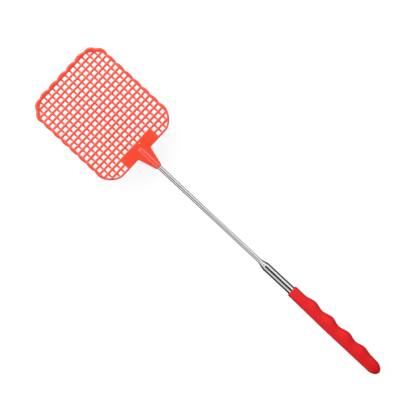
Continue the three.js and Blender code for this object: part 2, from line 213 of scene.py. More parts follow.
# The rounded lower corners and the tapered neck.
LOWER_EDGE_X, LOWER_CORNER_HEIGHT = 32, 18.8
CURVE_HANDLE = 0.45
NECK_TIP_X, NECK_SHOULDER_X, NECK_SIDE_X, NECK_SHOULDER_LENGTH = 1.9, 3.9, 4.9, 5.4
NECK_ROOT_X, FILLET_X, FILLET_END_X, FILLET_HEIGHT = 8.9, 9.35, 11.2, 1.3

# The straight inner edge of the rim.
OPENING_X, OPENING_FOOT, OPENING_TOP = 46.4, 2.2, 5
OPENING_CORNER = 14
SHOULDER_X, SHOULDER_Y, SHOULDER_CUT = 12.3, 12.5, 4.05

# The mesh of bars, and the shortest side and smallest opening that the rim leaves of it.
# A stretch of rim further than RIM_REACH from an opening's middle doesn't cut it.
COLUMN_PITCH, ROW_PITCH = 6.334, 6.068
COLUMN_BAR, ROW_BAR = 2.08, 2.44
FIRST_ROW_Y = TIP_Y - 6.8
COLUMNS, ROWS = 15, 19
ROWS_BESIDE_PLATE = 2
RIM_REACH = 9
LEAST_SIDE, LEAST_AREA = 0.4, 2.0
HOLE_CORNER, HOLE_STEP = 0.5, 1.1

# Heights, how far in from an edge each part rounds over, and the fillets where two parts meet.
EDGE_Z = 0.5
RIM_Z, ROW_Z, COLUMN_Z = 1.5, 1.1, 0.85
RIM_DROP = 0.35
RIM_ROUNDING, ROW_ROUNDING, COLUMN_ROUNDING, PLATE_ROUNDING, EDGE_ROUNDING = 1.15, 0.62, 0.8, 0.5, 0.7
BAR_FILLET, RIM_FILLET, RIDGE_FILLET = 0.12, 0.15, 0.45
PLATE_X, PLATE_TOP_Y, PLATE_Z = 23.0, BOTTOM_Y + 14, 1.0
PLATE_BLEND = 0.9
NECK_Z, NECK_RISE_LENGTH = 1.2, 6
RIDGE_R, RIDGE_TIP_R = 2.9, 2.35
RIDGE_TAPER_Y = BOTTOM_Y - 6
RIDGE_TIP_Y = BOTTOM_Y + 6.8
RIDGE_TIP_CENTRE_Y = RIDGE_TIP_Y - RIDGE_TIP_R
RIDGE_POWER, RIDGE_TIP_POWER = 2.5, 6.5
GATE_X, GATE_Y = 4.0, BOTTOM_Y + 10.9

# Where the head's mesh has its points: rows of them this far in from every edge, and the gaps kept.
EDGE_ROWS = (0.07, 0.2, 0.42, 0.7, 1.0, 1.35, 1.75)
HOLE_EDGE_ROWS = EDGE_ROWS[:4]
GATE_ROWS = (0.18, 0.36, 0.52, 0.64, 0.73, 0.84, 0.95, 1.1)
EDGE_GAP, LEAST_GAP = 0.05, 0.12
BAR_STEPS = 6
PLATE_GRID_X, PLATE_GRID = 22.4, 1.4
# Columns of points over the ridge, by their angle round it, and beside it, by their X.
RIDGE_POINTS_R, RIDGE_ANGLES = 3.05, (0, 15, 30, 42, 52, 60, 67, 73, 78, 83, 88)
BESIDE_RIDGE = (3.25, 3.5, 3.9, 4.4, 5.2, 6.2, 7.4)


def head_outline():
    """Counter-clockwise, from the neck's end round the right side, the top and back down the left."""
    neck_side_y, root_y = NECK_END_Y + NECK_SHOULDER_LENGTH, BOTTOM_Y - FILLET_HEIGHT
    neck = [
        straight((0, NECK_END_Y), (NECK_TIP_X, NECK_END_Y), 0.3),
        quadratic((NECK_TIP_X, NECK_END_Y), (NECK_SHOULDER_X, NECK_END_Y),
                  (NECK_SIDE_X, neck_side_y), 12),
        straight((NECK_SIDE_X, neck_side_y), (NECK_ROOT_X, root_y), 0.8),
        quadratic((NECK_ROOT_X, root_y), (FILLET_X, BOTTOM_Y), (FILLET_END_X, BOTTOM_Y), 6),
        straight((FILLET_END_X, BOTTOM_Y), (LOWER_EDGE_X, BOTTOM_Y), 0.9),
    ]
    corner_y = BOTTOM_Y + LOWER_CORNER_HEIGHT
    corner = [
        cubic((LOWER_EDGE_X, BOTTOM_Y),
              (LOWER_EDGE_X + CURVE_HANDLE * (BULGE_X - LOWER_EDGE_X), BOTTOM_Y),
              (BULGE_X, corner_y - CURVE_HANDLE * LOWER_CORNER_HEIGHT),
              (BULGE_X, corner_y), 34),
        quadratic((BULGE_X, corner_y), (BULGE_X, (corner_y + FIRST_CUSP_Y) / 2),
                  (CUSP_X, FIRST_CUSP_Y), 8),
    ]
    cusps = [(CUSP_X, FIRST_CUSP_Y + i * SIDE_PITCH) for i in range(SIDE_SCALLOPS + 1)]
    cusps.append(CORNER_CUSP)
    cusps += [((2.5 - i) * TOP_PITCH, TIP_Y - TOP_RISE) for i in range(3)]
    rises = [SIDE_RISE] * SIDE_SCALLOPS + CORNER_RISES + [TOP_RISE] * 2
    scallops = []
    for p, q, rise in zip(cusps[:-1], cusps[1:], rises):
        p, q = np.array(p), np.array(q)
        outward = np.array([q[1] - p[1], p[0] - q[0]]) / np.linalg.norm(q - p)
        scallops.append(quadratic(p, (p + q) / 2 + outward * 2 * rise, q, SCALLOP_POINTS))
    p = np.array(cusps[-1])
    middle = quadratic(p, (0, p[1] + 2 * TOP_RISE), (-p[0], p[1]), SCALLOP_POINTS)
    half_of_middle = middle[:SCALLOP_POINTS // 2 + 1]
    right = np.concatenate(neck + corner + scallops + [half_of_middle])
    return np.concatenate([right, mirrored(right)[1:-1]])


def opening_outline():
    """The straight inner edge of the rim, counter-clockwise."""
    w, low, high = OPENING_X, BOTTOM_Y + OPENING_FOOT, TIP_Y - OPENING_TOP
    corner, handle = OPENING_CORNER, CURVE_HANDLE * OPENING_CORNER
    right = np.concatenate([
        straight((0, low), (w - corner, low), 2),
        cubic((w - corner, low), (w - corner + handle, low),
              (w, low + corner - handle), (w, low + corner), 16),
        straight((w, low + corner), (w, high - SHOULDER_Y), 3),
        quadratic((w, high - SHOULDER_Y), (w - SHOULDER_CUT, high - SHOULDER_CUT),
                  (w - SHOULDER_X, high), 16),
        straight((w - SHOULDER_X, high), (0, high), 3),
        np.array([(0.0, high)]),
    ])
    return np.concatenate([right, mirrored(right)[1:-1]])


def rounded_loop(corners, radius):
    """A convex counter-clockwise polygon with its corners rounded, and points along its sides."""
    most = 0.4
    loop = []
    for p, here, q in zip(np.roll(corners, 1, axis=0), corners, np.roll(corners, -1, axis=0)):
        arc = corner_arc(p, here, q, radius, most, 4)
        loop += list(arc)
        side = np.linalg.norm(q - here)
        end, stop = arc[-1], q - (q - here) / side * min(radius, side * most)
        steps = max(1, int(round(np.linalg.norm(stop - end) / HOLE_STEP)))
        loop += [end + (stop - end) * k / steps for k in range(1, steps)]
    return np.array(loop)


def clip_polygon(polygon, point, normal):
    """The part of a convex polygon behind a line through a point, which normal points out of."""
    kept = []
    for a, b in sides(polygon):
        da, db = (a - point) @ normal, (b - point) @ normal
        if da <= 0:
            kept.append(a)
        if (da < 0) != (db < 0):
            kept.append(a + (b - a) * da / (da - db))
    return np.array(kept)


def within_rim(box, middle, opening):
    """What the rim leaves of one opening's box, without sides too short to mould."""
    for p, q in sides(opening):
        heading = (q - p) / np.linalg.norm(q - p)
        outward = np.array([heading[1], -heading[0]])
        is_near = np.linalg.norm((p + q) / 2 - middle) < RIM_REACH
        if is_near and ((box - p) @ outward).max() > 1e-9:
            box = clip_polygon(box, p, outward)
        if len(box) < 3:
            break
    before = np.roll(box, 1, axis=0)
    return np.array([b for a, b in zip(before, box) if np.linalg.norm(b - a) > LEAST_SIDE])


def hole_loops():
    """The outline of every opening in the mesh."""
    opening = opening_outline()
    hx, hy = (COLUMN_PITCH - COLUMN_BAR) / 2, (ROW_PITCH - ROW_BAR) / 2
    holes = []
    for row in range(ROWS):
        for column in range(COLUMNS):
            x = (column - (COLUMNS - 1) / 2) * COLUMN_PITCH
            y = FIRST_ROW_Y - row * ROW_PITCH
            if row >= ROWS - ROWS_BESIDE_PLATE and abs(x) < PLATE_X:
                continue
            box = np.array([(x - hx, y - hy), (x + hx, y - hy), (x + hx, y + hy), (x - hx, y + hy)])
            box = within_rim(box, (x, y), opening)
            if len(box) > 2 and area_of(box) >= LEAST_AREA:
                holes.append(rounded_loop(box, HOLE_CORNER))
    return holes


def off_bar(position, pitch):
    """Distance from the middle of the nearest bar; the bars lie halfway between the openings."""
    count = position / pitch
    return np.abs(count - 0.5 - np.round(count - 0.5)) * pitch


def bar_height(x, y):
    """Round-backed bars: the rows stand higher than the columns."""
    row_share = (ROW_BAR / 2 - off_bar(FIRST_ROW_Y - y, ROW_PITCH)) / ROW_ROUNDING
    column_share = (COLUMN_BAR / 2 - off_bar(x, COLUMN_PITCH)) / COLUMN_ROUNDING
    in_rows = (y < FIRST_ROW_Y) & (y > FIRST_ROW_Y - (ROWS - 1) * ROW_PITCH)
    z_row = EDGE_Z + (ROW_Z - EDGE_Z) * dome(row_share) * in_rows
    z_column = EDGE_Z + (COLUMN_Z - EDGE_Z) * dome(column_share)
    return soft_max(z_row, z_column, BAR_FILLET)


def rim_height(x, y, from_outline, from_opening):
    """The bead round the edge, which fades out beside the plate and is lower along the bottom."""
    shown = smooth_step(np.abs(x), PLATE_X - PLATE_BLEND, PLATE_X + PLATE_BLEND)
    shown = np.where(y < PLATE_TOP_Y - 1.2, shown, 1)
    share = np.minimum(from_outline, np.maximum(from_opening + 0.1, 0)) / RIM_ROUNDING
    high = RIM_Z - RIM_DROP * (1 - smooth_step(y, BOTTOM_Y + 8, BOTTOM_Y + 20))
    return EDGE_Z + (high - EDGE_Z) * dome(share) * shown


def gate_mark(x, y):
    """The pip that the mould's gate leaves, and the faint groove round it."""
    off = np.hypot(x - GATE_X, y - GATE_Y)
    pip = np.maximum(np.sqrt(np.maximum(1 - off ** 2, 0)) - 0.69, 0)
    groove = 0.08 * np.exp(-((off - 0.95) / 0.15) ** 2)
    return pip, groove


def ridge_height(x, y):
    """The ridge that the rod is pressed into: full-backed, and narrower towards its blunt tip."""
    taper = np.clip((y - RIDGE_TAPER_Y) / (RIDGE_TIP_CENTRE_Y - RIDGE_TAPER_Y), 0, 1)
    radius = RIDGE_R + (RIDGE_TIP_R - RIDGE_R) * taper
    past = np.maximum(y - RIDGE_TIP_CENTRE_Y, 0)
    share = np.clip(np.hypot(x, past) / radius, 0, 1)
    power = RIDGE_POWER + (RIDGE_TIP_POWER - RIDGE_POWER) * np.clip(past / radius, 0, 1)
    return radius * (1 - share ** power) ** (1 / power)


def head_height(points, outline, opening):
    """How far the moulding's face stands from its middle plane."""
    x, y = points.T
    from_outline = distance_to(points, outline)
    from_opening = distance_to(points, opening) * np.where(inside_of(points, opening), -1, 1)
    z = soft_max(bar_height(x, y), rim_height(x, y, from_outline, from_opening), RIM_FILLET)
    in_plate = np.minimum(PLATE_X - np.abs(x), PLATE_TOP_Y - y)
    z_plate = EDGE_Z + (PLATE_Z - EDGE_Z) * dome((in_plate + 0.1) / PLATE_ROUNDING)
    plate_share = smooth_step(in_plate, -0.1, PLATE_BLEND)
    z = z * (1 - plate_share) + np.maximum(z_plate, 0) * plate_share
    web = PLATE_Z + (NECK_Z - PLATE_Z) * smooth_step(BOTTOM_Y - y, 0, NECK_RISE_LENGTH)
    z = np.where(y < BOTTOM_Y, np.maximum(z, web), z)
    pip, groove = gate_mark(x, y)
    z = z + pip - groove
    z = soft_max(z, ridge_height(x, y), RIDGE_FILLET)
    return EDGE_Z + (z - EDGE_Z) * dome(from_outline / EDGE_ROUNDING)


def head_points(outline, holes):
    """The loose points between the edges, closest together where the face curves most."""
    loose = [inset(outline, distance) for distance in EDGE_ROWS]
    loose += [inset(hole, -distance) for hole in holes for distance in HOLE_EDGE_ROWS]
    edge_x, step_x, step_y = COLUMNS / 2 * COLUMN_PITCH, COLUMN_PITCH / BAR_STEPS, ROW_PITCH / BAR_STEPS
    for row in range(ROWS + 1):
        y = FIRST_ROW_Y - (row - 0.5) * ROW_PITCH
        loose.append(grid_of(np.arange(-edge_x, edge_x + step_x / 2, step_x), [y]))
    for column in range(COLUMNS + 1):
        x = (column - COLUMNS / 2) * COLUMN_PITCH
        ys = FIRST_ROW_Y + 0.5 * ROW_PITCH - np.arange(0, ROWS * ROW_PITCH, step_y)
        loose.append(grid_of([x], ys))
    plate_xs = np.arange(-PLATE_GRID_X, PLATE_GRID_X + 0.1, PLATE_GRID)
    loose.append(grid_of(plate_xs, np.arange(BOTTOM_Y + 1, PLATE_TOP_Y, PLATE_GRID)))
    across = np.concatenate([RIDGE_POINTS_R * np.sin(np.radians(RIDGE_ANGLES)), BESIDE_RIDGE])
    across = np.concatenate([-across[:0:-1], across])
    loose.append(grid_of(across, np.arange(NECK_END_Y + 0.1, RIDGE_TIP_Y + 1.5, 0.75)))
    angles = np.linspace(0, 2 * np.pi, 16, endpoint=False)
    for radius in GATE_ROWS:
        ring = [GATE_X + radius * np.cos(angles), GATE_Y + radius * np.sin(angles)]
        loose.append(np.stack(ring, axis=1))
    return np.concatenate(loose)


def thinned(points, keep_from, least):
    """Drops loose points that lie within least of a point before them."""
    cells = {}
    kept = []
    for i, (x, y) in enumerate(points):
        key = (int(math.floor(x / least)), int(math.floor(y / least)))
        crowded = False
        if i >= keep_from:
            for dx in (-1, 0, 1):
                for dy in (-1, 0, 1):
                    for px, py in cells.get((key[0] + dx, key[1] + dy), ()):
                        if (px - x) ** 2 + (py - y) ** 2 < least * least:
                            crowded = True
        if not crowded:
            cells.setdefault(key, []).append((x, y))
            kept.append(i)
    return points[kept]


def in_holes(points, holes, margin):
    """Which points lie inside an opening, or within a margin of its edge."""
    found = np.zeros(len(points), bool)
    for hole in holes:
        low, high = hole.min(axis=0) - 2 * margin, hole.max(axis=0) + 2 * margin
        close = np.where(((points > low) & (points < high)).all(axis=1))[0]
        if len(close):
            on_edge = distance_to(points[close], hole) < margin
            found[close] |= inside_of(points[close], hole) | on_edge
    return found


def head_mesh():
    """One flat triangulation between the outline and the openings, raised both ways and walled round."""
    outline, opening, holes = head_outline(), opening_outline(), hole_loops()
    loops = [outline] + holes
    fixed = np.concatenate(loops)
    loose = head_points(outline, holes)
    loose = loose[inside_of(loose, outline) & (distance_to(loose, outline) > EDGE_GAP)]
    loose = loose[~in_holes(loose, holes, EDGE_GAP)]
    points = thinned(np.concatenate([fixed, loose]), len(fixed), LEAST_GAP)
    edges, start = [], 0
    for loop in loops:
        edges += [(start + i, start + (i + 1) % len(loop)) for i in range(len(loop))]
        start += len(loop)
    vectors = [Vector(p) for p in points]
    verts, _, faces, *_ = delaunay_2d_cdt(vectors, edges, [], 0, 1e-6)
    flat = np.array([tuple(v) for v in verts])
    triangles = np.array([f for f in faces if len(f) == 3])
    centres = flat[triangles].mean(axis=1)
    triangles = triangles[inside_of(centres, outline) & ~in_holes(centres, holes, 0)]
    height = head_height(flat, outline, opening)
    count = len(flat)
    top = np.column_stack([flat, height])
    bottom = np.column_stack([flat, -height])
    up = triangles.tolist()
    down = (triangles[:, ::-1] + count).tolist()
    used = dict.fromkeys(pair for a, b, c in up for pair in ((a, b), (b, c), (c, a)))
    walls = [(p, p + count, q + count, q) for p, q in used if (q, p) not in used]
    return np.concatenate([top, bottom]), up + down + walls


# ---------------------------------------------------------------- turned parts

def turned(profile, segments):
    """Points and faces of a solid of revolution about the tube axis, from radius and Y pairs in mm.
    A profile that starts and ends on the axis closes there; any other is joined end to end."""
    least_radius = 1e-9
    angles = np.linspace(0, 2 * np.pi, segments, endpoint=False)
    ring = np.stack([np.sin(angles), np.cos(angles)], axis=1)
    points, rows = [], []
    for radius, y in profile:
        if radius < least_radius:
            rows.append([len(points)] * segments)
            points.append((0.0, y, 0.0))
        else:
            rows.append(list(range(len(points), len(points) + segments)))
            points += [(radius * a, y, radius * b) for a, b in ring]
    pairs = list(zip(rows[:-1], rows[1:]))
    if profile[0][0] > least_radius:
        pairs.append((rows[-1], rows[0]))
    faces = []
    for low, high in pairs:
        for i in range(segments):
            j = (i + 1) % segments
            face = [low[i], low[j], high[j], high[i]]
            face = [v for k, v in enumerate(face) if v not in face[:k]]
            if len(face) > 2:
                faces.append(face)
    return points, faces


def eased(profile, radius, steps=4, loop=True):
    """A profile with each corner rounded by radius, as far as its sides allow."""
    points = [np.array(p, float) for p in profile]
    count = len(points)
    result = []
    for i, here in enumerate(points):
        if not loop and i in (0, count - 1):
            result.append(tuple(here))
        else:
            arc = corner_arc(points[i - 1], here, points[(i + 1) % count], radius, 0.45, steps)
            result += [tuple(p) for p in arc]
    return result


# ---------------------------------------------------------------- tubes
# Stage 0 is the outer tube, 1 and 2 the middle tubes and 3 the rod.

OUTER_R, STEP, WALL = (TUBE_HI.x - TUBE_LO.x) / 2 / MM, 0.725, 0.375
NECK_LENGTH = 2.5
NECK_GAP, FOOT_GAP, SHELL_GAP, SPIGOT_GAP = 0.1, 0.1, 0.05, 0.075
TUBE_SEGMENTS = 64
NECK_Y = TUBE_HI.y / MM - NECK_LENGTH

# The foot of a moving tube, as heights above its end: a bead, the shells' groove and a second bead.
BEAD_TOP, GROOVE_FOOT, GROOVE_TOP, COLLAR_FOOT, COLLAR_TOP, FOOT_TOP = 0.9, 1.2, 7.4, 7.7, 8.4, 8.7
SHELL_HALF_LENGTH, SHELL_ARC, SHELL_STATIONS = 2.95, math.radians(165), 45


def stage_radius(stage):
    return OUTER_R - stage * STEP


def bore_radius(stage):
    return stage_radius(stage) - WALL


def neck_profile(stage, neck_y):
    """The front of a tube, rolled in to a cone that closes round the tube inside it."""
    r, hole = stage_radius(stage), stage_radius(stage + 1) + NECK_GAP
    tip_y = neck_y + NECK_LENGTH
    return [
        (r, neck_y - 0.35), (r - 0.03, neck_y + 0.1), (hole + 0.32, tip_y - 0.5),
        (hole + 0.15, tip_y - 0.1), (hole + 0.08, tip_y), (hole, tip_y - 0.06),
        (hole, tip_y - 1), (bore_radius(stage), neck_y),
    ]


def foot_profile(stage, base_y):
    r, flare = stage_radius(stage), bore_radius(stage - 1) - FOOT_GAP
    return eased([
        (bore_radius(stage), base_y), (flare, base_y), (flare, base_y + BEAD_TOP),
        (r, base_y + GROOVE_FOOT), (r, base_y + GROOVE_TOP), (flare, base_y + COLLAR_FOOT),
        (flare, base_y + COLLAR_TOP), (r, base_y + FOOT_TOP), (r, base_y + FOOT_TOP + 1),
    ], 0.14, loop=False)


def long_tube(start, end, stations=10):
    """Rings between the two ends of a tube, so that its long faces aren't slivers."""
    r0, y0 = start
    r1, y1 = end
    return [(r0 + (r1 - r0) * t, y0 + (y1 - y0) * t) for t in np.linspace(0, 1, stations)[1:-1]]


def tube_profile(foot, front, stations=10):
    """A foot and a front end joined by a long wall outside and its bore inside."""
    outside = long_tube(foot[-1], front[0], stations)
    bore = long_tube(front[-1], foot[0], stations)
    return foot + outside + front + bore


def outer_tube_profile():
    base_y, bore = TUBE_LO.y / MM, bore_radius(0)
    corners = [(bore, base_y + 0.5), (bore, base_y), (OUTER_R, base_y), (OUTER_R, base_y + 0.5)]
    return tube_profile(eased(corners, 0.1, loop=False), neck_profile(0, NECK_Y))


def middle_tube_profile(stage, base_y):
    return tube_profile(foot_profile(stage, base_y), neck_profile(stage, NECK_Y + stage * NECK_LENGTH))


def rod_profile():
    tip_y = ROD_HI.y / MM
    r, bore = stage_radius(3), bore_radius(3)
    corners = [(r, tip_y - 0.6), (r, tip_y), (bore, tip_y), (bore, tip_y - 0.6)]
    return tube_profile(foot_profile(3, ROD_LO.y / MM), eased(corners, 0.12, loop=False), 14)


def plug_profile():
    """A flange with a turned groove in its face, and a spigot that fills the outer tube's foot."""
    foot_y, tip_y = PLUG_LO.y / MM, PLUG_HI.y / MM
    flange = (PLUG_HI.x - PLUG_LO.x) / 2 / MM
    spigot = bore_radius(0) - SPIGOT_GAP
    shape = [
        (0, foot_y), (1.1, foot_y), (1.3, foot_y + 0.25), (1.5, foot_y), (flange, foot_y),
        (flange, foot_y + 1.1), (spigot - 0.12, foot_y + 1.1), (spigot - 0.12, foot_y + 1.5),
        (spigot, foot_y + 1.7), (spigot, tip_y), (0, tip_y),
    ]
    return eased(shape, 0.16, loop=False)


def shell_mesh(stage, base_y, turn):
    """One half-round spring shell, with eased long edges."""
    outer, inner = bore_radius(stage - 1) - SHELL_GAP, stage_radius(stage) + SHELL_GAP
    middle = (outer + inner) / 2
    half = (outer - inner) / 2
    middle_y = base_y + (GROOVE_FOOT + GROOVE_TOP) / 2
    section = [
        (-half, -SHELL_HALF_LENGTH), (half, -SHELL_HALF_LENGTH),
        (half, SHELL_HALF_LENGTH), (-half, SHELL_HALF_LENGTH),
    ]
    section = eased(section, 0.07, steps=3)
    points, faces = [], []
    for angle in turn + np.linspace(0, SHELL_ARC, SHELL_STATIONS):
        for dr, dy in section:
            r = middle + dr
            points.append((r * math.cos(angle), middle_y + dy, -r * math.sin(angle)))
    n = len(section)
    for k in range(SHELL_STATIONS - 1):
        faces += band_faces(k * n, n)
    faces.append(list(range(n)))
    faces.append(list(range((SHELL_STATIONS - 1) * n, SHELL_STATIONS * n))[::-1])
    return points, faces


# ---------------------------------------------------------------- grip
# The finger side bulges to +X; behind means how far behind the grip's front face a ring lies.

GRIP_FRONT_Y, GRIP_END_Y = GRIP_HI.y / MM, GRIP_LO.y / MM
GRIP_SEGMENTS = 96
GRIP_FRONT_HALF, GRIP_HALF_GROWTH, GRIP_GROWTH_LENGTH = 6.2, 0.8, 48
WAVE_CREST = 9.1
# Distance behind the front face, and how far the finger side stands from the axis there.
FINGER_WAVE = [
    (0, 6.25), (14, 6.25), (25.6, 8.7), (26.6, 8.7), (37.4, 6.6), (50.2, WAVE_CREST), (60.8, 6.65),
    (73.3, WAVE_CREST), (84.2, 6.9), (95.4, WAVE_CREST), (106.3, 7.4), (114.5, 7.0), (124.2, 6.5),
]
SCOOP_DEPTH, SCOOP_SHIFT, SCOOP_FALL = 0.21, 1.5, 2.9
SEAM_DEPTH, SEAM_WIDTH = 0.09, 0.045
BEVEL_TILT, BEVEL_OFFSET, BEVEL_POWER = math.radians(24), 1.2, 16
END_ROUNDING, END_HEIGHT_POWER, END_RINGS = 10.4, 0.4, 18
LONG_RINGS = 150
FRONT_ROUNDING = 0.9
BORE_GAP, BORE_PAST_TUBE = 0.1, 1.6
# Where, behind the front face, the scoops and the bevel come in and the scoops go out again.
SCOOPS_IN, SCOOPS_OUT, BEVEL_IN = (14, 27), (100, 112), (12, 30)
FRONT_SQUARENESS, SQUARENESS = 0.72, 0.86


def finger_reach(behind):
    """How far the finger side stands from the axis."""
    for (d0, r0), (d1, r1) in zip(FINGER_WAVE[:-1], FINGER_WAVE[1:]):
        if behind <= d1:
            return r0 + (r1 - r0) * float(smooth_step(behind, d0, d1))
    return FINGER_WAVE[-1][1]


def back_section(c, s, half):
    """A quarter of the section's side away from the fingers: a flat top, a long bevel and an
    upright side, with soft corners."""
    n = BEVEL_POWER
    bevel = BEVEL_OFFSET * math.sin(BEVEL_TILT) + half * math.cos(BEVEL_TILT)
    top = (half ** -n + (math.cos(BEVEL_TILT) / bevel) ** n) ** (1 / n)
    slant = c * math.sin(BEVEL_TILT) + s * math.cos(BEVEL_TILT)
    reach = ((c / half) ** n + (s / half) ** n + (slant / bevel) ** n) ** (-1 / n)
    return reach * c, reach * s * top * half


def grip_ring(y, scale, height_scale):
    """One ring round the grip: a rounded square, bevelled on the side away from the fingers and
    scooped out where a finger lies."""
    behind = GRIP_FRONT_Y - y
    half = GRIP_FRONT_HALF + GRIP_HALF_GROWTH * min(max(behind / GRIP_GROWTH_LENGTH, 0), 1)
    reach = finger_reach(behind)
    valley = (WAVE_CREST - finger_reach(behind - SCOOP_SHIFT)) / SCOOP_FALL
    waved = float(smooth_step(behind, *SCOOPS_IN) * (1 - smooth_step(behind, *SCOOPS_OUT)))
    faceted = float(smooth_step(behind, *BEVEL_IN))
    square = FRONT_SQUARENESS + (SQUARENESS - FRONT_SQUARENESS) * faceted
    ring = []
    for i in range(GRIP_SEGMENTS):
        angle = 2 * np.pi * i / GRIP_SEGMENTS
        c, s = math.cos(angle), math.sin(angle)
        px, pz = abs(c) ** square, abs(s) ** square
        across, height = (reach if c > 0 else half) * px, half * pz
        if c < 0:
            flat_x, flat_z = back_section(px, pz, half)
            across += (flat_x - across) * faceted
            height += (flat_z - height) * faceted
        across, height = math.copysign(across, c), math.copysign(height, s)
        scooped = 0.15 + 0.85 * float(smooth_step(across, -1.7, 1.8))
        dish = SCOOP_DEPTH * valley * waved * scooped
        seam = SEAM_DEPTH * math.exp(-(s / SEAM_WIDTH) ** 2)
        lean = 1 - seam / 7 if scale > 0.3 else 1
        ring.append((across * scale * lean, y, height * (1 - dish) * height_scale))
    return ring


def grip_mesh():
    """The outer skin from the domed end to the front face, then down the bore that holds the tube."""
    rings = []
    for i in range(1, END_RINGS):
        angle = math.pi / 2 * i / END_RINGS
        y = GRIP_END_Y + END_ROUNDING * (1 - math.cos(angle))
        rings.append(grip_ring(y, math.sin(angle), math.sin(angle) ** END_HEIGHT_POWER))
    for y in np.linspace(GRIP_END_Y + END_ROUNDING, GRIP_FRONT_Y - FRONT_ROUNDING, LONG_RINGS):
        rings.append(grip_ring(y, 1, 1))
    for angle in np.radians([15, 30, 45, 60, 75, 90]):
        drawn_in = 1 - FRONT_ROUNDING * (1 - math.cos(angle)) / GRIP_FRONT_HALF
        y = GRIP_FRONT_Y - FRONT_ROUNDING * (1 - math.sin(angle))
        rings.append(grip_ring(y, drawn_in, drawn_in))
    bore, bore_end = OUTER_R + BORE_GAP, TUBE_LO.y / MM - BORE_PAST_TUBE
    turns = 2 * np.pi * np.arange(GRIP_SEGMENTS) / GRIP_SEGMENTS
    for radius, y in (
        (bore + 0.3, GRIP_FRONT_Y), (bore + 0.08, GRIP_FRONT_Y - 0.08),
        (bore, GRIP_FRONT_Y - 0.3), (bore, bore_end),
    ):
        rings.append([(radius * math.cos(a), y, radius * math.sin(a)) for a in turns])
    points = [p for ring in rings for p in ring]
    n = GRIP_SEGMENTS
    faces = []
    for k in range(len(rings) - 1):
        faces += band_faces(k * n, n)
    points += [(0, GRIP_END_Y, 0), (0, bore_end, 0)]
    last = (len(rings) - 1) * n
    for i in range(n):
        j = (i + 1) % n
        faces.append([len(points) - 2, j, i])
        faces.append([len(points) - 1, last + i, last + j])
    return points, faces


# ---------------------------------------------------------------- materials

def new_material(name):
    material = bpy.data.materials.new(name)
    material.use_nodes = True
    tree = material.node_tree
    shader = tree.nodes["Principled BSDF"]
    place = tree.nodes.new("ShaderNodeTexCoord")
    return material, tree, shader, place.outputs["Object"]


def noise(tree, vector, scale, detail=3.0, roughness=0.5, stretch=None):
    if stretch is not None:
        mapping = tree.nodes.new("ShaderNodeMapping")
        mapping.inputs["Scale"].default_value = stretch
        tree.links.new(vector, mapping.inputs["Vector"])
        vector = mapping.outputs["Vector"]
    node = tree.nodes.new("ShaderNodeTexNoise")
    node.inputs["Scale"].default_value = scale
    node.inputs["Detail"].default_value = detail
    node.inputs["Roughness"].default_value = roughness
    tree.links.new(vector, node.inputs["Vector"])
    return node.outputs["Fac"]


def mapped(tree, value, low, high, from_low=0.3, from_high=0.7):
    node = tree.nodes.new("ShaderNodeMapRange")
    node.inputs["From Min"].default_value = from_low
    node.inputs["From Max"].default_value = from_high
    node.inputs["To Min"].default_value = low
    node.inputs["To Max"].default_value = high
    tree.links.new(value, node.inputs["Value"])
    return node.outputs["Result"]


def mixed(tree, value, first, second):
    """Mixes two colours or colour outputs: a Mix node's colours are inputs 6 and 7 and output 2."""
    node = tree.nodes.new("ShaderNodeMix")
    node.data_type = "RGBA"
    for socket, given in ((node.inputs[6], first), (node.inputs[7], second)):
        if isinstance(given, bpy.types.NodeSocket):
            tree.links.new(given, socket)
        else:
            socket.default_value = (*given, 1)
    tree.links.new(value, node.inputs[0])
    return node.outputs[2]


def near(tree, place, point, inner, outer):
    """1 within inner metres of a point, 0 beyond outer."""
    node = tree.nodes.new("ShaderNodeVectorMath")
    node.operation = "DISTANCE"
    tree.links.new(place, node.inputs[0])
    node.inputs[1].default_value = point
    return mapped(tree, node.outputs["Value"], 1, 0, inner, outer)


def along(tree, place, start, end):
    """0 at one Y, 1 at another."""
    node = tree.nodes.new("ShaderNodeSeparateXYZ")
    tree.links.new(place, node.inputs[0])
    return mapped(tree, node.outputs["Y"], 0, 1, start, end)


def bumped(tree, shader, heights):
    """Chains bumps of (height value, strength, distance in metres) onto a shader."""
    normal = None
    for value, strength, distance in heights:
        node = tree.nodes.new("ShaderNodeBump")
        node.inputs["Strength"].default_value = strength
        node.inputs["Distance"].default_value = distance
        tree.links.new(value, node.inputs["Height"])
        if normal is not None:
            tree.links.new(normal, node.inputs["Normal"])
        normal = node.outputs["Normal"]
    tree.links.new(normal, shader.inputs["Normal"])


def head_plastic():
    material, tree, shader, place = new_material("head_plastic")
    flow = noise(tree, place, 45, 4, 0.6, (1, 0.45, 1))
    speck = noise(tree, place, 900, 2, 0.5)
    tone = mixed(tree, mapped(tree, flow, 0, 1), (0.92, 0.061, 0.026), (0.97, 0.077, 0.034))
    tone = mixed(tree, mapped(tree, speck, 0, 0.25, 0.45, 0.75), tone, (0.85, 0.095, 0.047))
    # The paler tone round the gate is partly the plastic's whitening there and partly a painted highlight
    # on the pip.
    gate = (GATE_X * MM, GATE_Y * MM, AXIS_Z + PLATE_Z * MM)
    tone = mixed(tree, near(tree, place, gate, 0.0005, 0.0009), tone, (0.97, 0.45, 0.36))
    tree.links.new(tone, shader.inputs["Base Color"])
    gloss = noise(tree, place, 160, 3, 0.6)
    tree.links.new(mapped(tree, gloss, 0.05, 0.1), shader.inputs["Roughness"])
    shader.inputs["Specular IOR Level"].default_value = 1.0
    shader.inputs["Coat Weight"].default_value = 0.8
    shader.inputs["Coat Roughness"].default_value = 0.04
    shader.inputs["Subsurface Weight"].default_value = 0.12
    shader.inputs["Subsurface Radius"].default_value = (1.0, 0.18, 0.1)
    shader.inputs["Subsurface Scale"].default_value = 0.0012
    peel = noise(tree, place, 1400, 2, 0.5)
    sink = noise(tree, place, 110, 2, 0.5)
    bumped(tree, shader, [(sink, 0.2, 0.00006), (peel, 0.12, 0.00002)])
    return material


